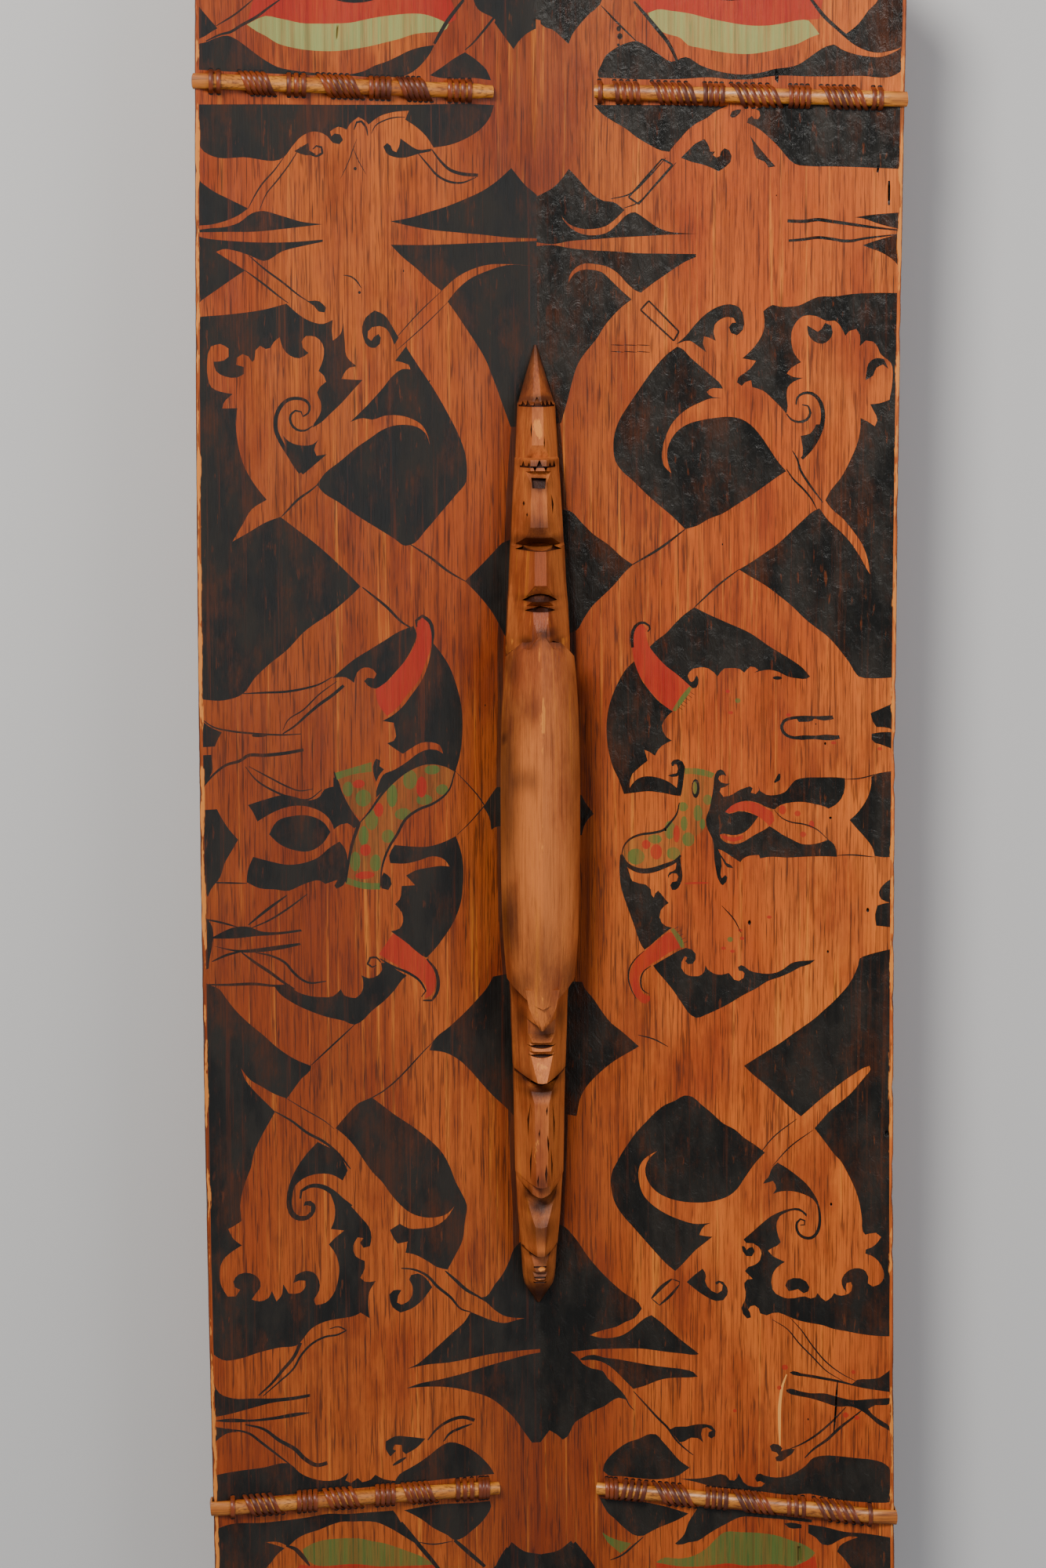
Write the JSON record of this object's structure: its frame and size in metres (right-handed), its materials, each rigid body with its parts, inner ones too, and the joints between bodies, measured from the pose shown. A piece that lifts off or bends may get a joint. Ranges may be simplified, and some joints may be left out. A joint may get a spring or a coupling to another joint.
{
  "type": "dayak shield",
  "caption": "Long six-sided wooden shield, hollowed to a shallow V, with a carved handle and two laced canes, lying on its front.",
  "frame": {"origin": "middle of the bounding box in plan, on the surface that the shield lies on", "axes": "+Z out of the holder's side, +Y along the board to its upper point, +X to the right as the holder's side is seen"},
  "size_m": [0.3846, 1.286, 0.0778],
  "materials": {
    "painted_wood": "oiled light wood with black, red and green painted bands",
    "cane": "satin",
    "split_cane": "satin"
  },
  "bodies": {
    "root": {"shield_board": "painted_wood", "upper_cane": "cane", "lower_cane": "cane", "lashing_upper_left": "split_cane", "lashing_upper_right": "split_cane", "lashing_lower_left": "split_cane", "lashing_lower_right": "split_cane"}
  },
  "joints": []
}
